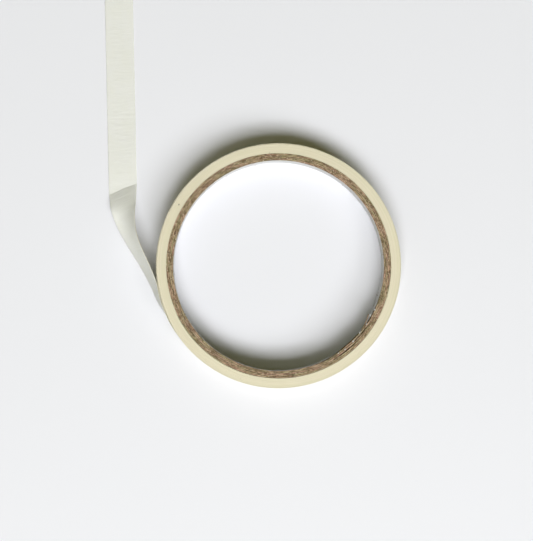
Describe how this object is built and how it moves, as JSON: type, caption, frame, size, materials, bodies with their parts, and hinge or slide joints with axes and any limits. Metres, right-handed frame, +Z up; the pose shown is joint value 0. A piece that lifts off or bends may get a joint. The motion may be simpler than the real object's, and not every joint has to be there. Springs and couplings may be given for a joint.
{
  "type": "masking tape roll",
  "caption": "Narrow roll of crepe-paper masking tape on a paperboard core, with a free tail that twists off the roll, creases and lies flat.",
  "frame": {"origin": "on the roll's axis, in the plane of the lower face that the roll lies on", "axes": "+Z up along the roll's axis; +Y roughly the way that the free tail runs; -X towards the side of the roll that the tail leaves"},
  "size_m": [0.1081, 0.1527, 0.0102],
  "materials": {
    "core_liner_paper": "matte, uncoated",
    "core_kraft_board": "matte, fibrous where it is cut",
    "tape_edge": "matte, the cut edges of many turns",
    "tape_back": "satin, creped"
  },
  "bodies": {
    "roll": {"core_liner": "core_liner_paper", "core_kraft_ply_1": "core_kraft_board", "core_kraft_ply_2": "core_kraft_board", "core_kraft_ply_3": "core_kraft_board", "core_kraft_ply_4": "core_kraft_board", "tape_wound_turns": "tape_edge"},
    "outer_turn": {"tape_outer_turn": "tape_back"},
    "tail_twist": {"tape_tail_twist": "tape_back"},
    "tail_flat": {"tape_tail_flat": "tape_back"}
  },
  "joints": [
    {"name": "unwind", "type": "hinge", "parent": "roll", "child": "outer_turn", "pos_m": [0, 0, 0], "axis": [0, 0, 1], "continuous": true},
    {"name": "peel", "type": "hinge", "parent": "outer_turn", "child": "tail_twist", "pos_m": [-0.04047, -0.01887, 0], "axis": [0, 0, 1], "range_deg": [0, 120]},
    {"name": "crease", "type": "hinge", "parent": "tail_twist", "child": "tail_flat", "pos_m": [-0.0619, 0.0262, 0.0001], "axis": [0.9257, 0.3782, 0], "range_deg": [0, 100]}
  ]
}
